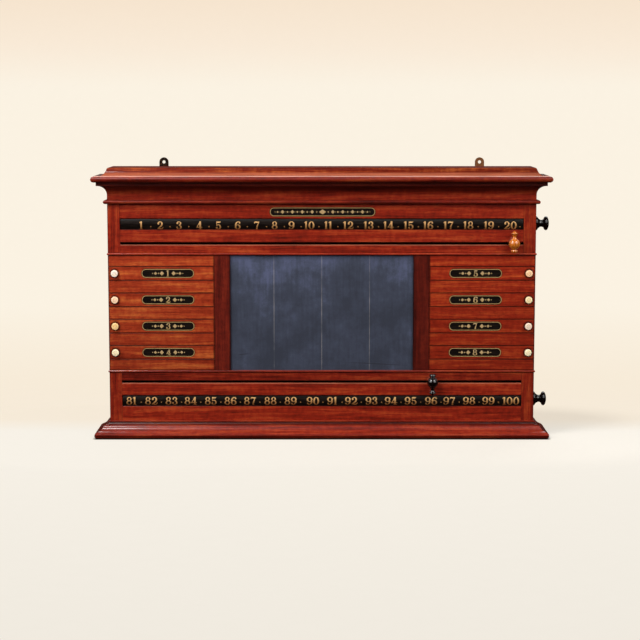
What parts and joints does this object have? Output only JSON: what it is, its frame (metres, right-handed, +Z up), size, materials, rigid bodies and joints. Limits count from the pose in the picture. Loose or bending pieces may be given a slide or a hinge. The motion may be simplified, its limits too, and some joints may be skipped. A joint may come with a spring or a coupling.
{
  "type": "billiards scoreboard",
  "caption": "Wall scoreboard in a moulded mahogany case: turning number rollers, sliding pointers, a writing slate and pull-out player slides.",
  "frame": {"origin": "middle of the underside, where the board stands", "axes": "+X to the right along the front, +Y from the front to the back, +Z up"},
  "size_m": [0.91, 0.109, 0.5577],
  "materials": {
    "bone": "turned and polished bone",
    "boxwood": "turned and polished boxwood",
    "brass": "turned brass",
    "bronzed_brass": "dark bronzed brass",
    "ebonised_wood": "ebonised and polished",
    "mahogany": "French polished mahogany, red brown, glossy",
    "mahogany_dark": "French polished mahogany, dark red brown, glossy",
    "mahogany_slats": "French polished mahogany, orange red, glossy",
    "pine": "plain planed pine",
    "slate": "honed blue-grey slate, matt",
    "steel": "bright steel"
  },
  "bodies": {
    "case": {"back_board": "pine", "left_side": "mahogany", "right_side": "mahogany", "bottom_board": "pine", "lower_shelf": "pine", "upper_shelf": "pine", "ground_panel": "mahogany_dark", "crown_board": "mahogany", "cornice_shelf": "mahogany", "cove_moulding": "mahogany", "necking_bead": "mahogany", "plinth_moulding": "mahogany", "upper_bead": "mahogany", "lower_bead": "mahogany", "upper_left_stile": "mahogany", "upper_right_stile": "mahogany", "frieze_rail": "mahogany", "upper_middle_rail": "mahogany", "upper_bottom_rail": "mahogany", "lower_left_stile": "mahogany", "lower_right_stile": "mahogany", "lower_top_rail": "mahogany", "lower_middle_rail": "mahogany", "lower_bottom_rail": "mahogany", "left_slate_stile": "mahogany_dark", "right_slate_stile": "mahogany_dark", "slate": "slate", "left_fixed_slats": "mahogany_slats", "right_fixed_slats": "mahogany_slats", "hanging_plates": "bronzed_brass", "wood_screws": "steel", "roller_bushes": "brass"},
    "left_player_slide_1": {"left_slide_1": "mahogany_slats", "left_button_1": "bone"},
    "left_player_slide_2": {"left_slide_2": "mahogany_slats", "left_button_2": "bone"},
    "left_player_slide_3": {"left_slide_3": "mahogany_slats", "left_button_3": "bone"},
    "left_player_slide_4": {"left_slide_4": "mahogany_slats", "left_button_4": "bone"},
    "right_player_slide_1": {"right_slide_1": "mahogany_slats", "right_button_1": "bone"},
    "right_player_slide_2": {"right_slide_2": "mahogany_slats", "right_button_2": "bone"},
    "right_player_slide_3": {"right_slide_3": "mahogany_slats", "right_button_3": "bone"},
    "right_player_slide_4": {"right_slide_4": "mahogany_slats", "right_button_4": "bone"},
    "upper_number_roller": {"upper_roller": "ebonised_wood", "upper_roller_spindles": "steel", "upper_roller_knob": "ebonised_wood"},
    "lower_number_roller": {"lower_roller": "ebonised_wood", "lower_roller_spindles": "steel", "lower_roller_knob": "ebonised_wood"},
    "upper_marker": {"upper_pointer": "boxwood", "upper_pointer_pin": "brass", "upper_pointer_block": "pine"},
    "lower_marker": {"lower_pointer": "ebonised_wood", "lower_pointer_pin": "brass", "lower_pointer_block": "pine"}
  },
  "joints": [
    {"name": "left_slide_1_pull", "type": "slide", "parent": "case", "child": "left_player_slide_1", "axis": [-1, 0, 0], "range_m": [0, 0.12]},
    {"name": "left_slide_2_pull", "type": "slide", "parent": "case", "child": "left_player_slide_2", "axis": [-1, 0, 0], "range_m": [0, 0.12]},
    {"name": "left_slide_3_pull", "type": "slide", "parent": "case", "child": "left_player_slide_3", "axis": [-1, 0, 0], "range_m": [0, 0.12]},
    {"name": "left_slide_4_pull", "type": "slide", "parent": "case", "child": "left_player_slide_4", "axis": [-1, 0, 0], "range_m": [0, 0.12]},
    {"name": "right_slide_1_pull", "type": "slide", "parent": "case", "child": "right_player_slide_1", "axis": [1, 0, 0], "range_m": [0, 0.12]},
    {"name": "right_slide_2_pull", "type": "slide", "parent": "case", "child": "right_player_slide_2", "axis": [1, 0, 0], "range_m": [0, 0.12]},
    {"name": "right_slide_3_pull", "type": "slide", "parent": "case", "child": "right_player_slide_3", "axis": [1, 0, 0], "range_m": [0, 0.12]},
    {"name": "right_slide_4_pull", "type": "slide", "parent": "case", "child": "right_player_slide_4", "axis": [1, 0, 0], "range_m": [0, 0.12]},
    {"name": "upper_roller_turn", "type": "hinge", "parent": "case", "child": "upper_number_roller", "pos_m": [0, 0.003, 0.4279], "axis": [1, 0, 0], "continuous": true},
    {"name": "lower_roller_turn", "type": "hinge", "parent": "case", "child": "lower_number_roller", "pos_m": [0, 0.003, 0.0725], "axis": [1, 0, 0], "continuous": true},
    {"name": "upper_marker_slide", "type": "slide", "parent": "case", "child": "upper_marker", "axis": [1, 0, 0], "range_m": [-0.78, 0.016]},
    {"name": "lower_marker_slide", "type": "slide", "parent": "case", "child": "lower_marker", "axis": [1, 0, 0], "range_m": [-0.62, 0.176]}
  ]
}
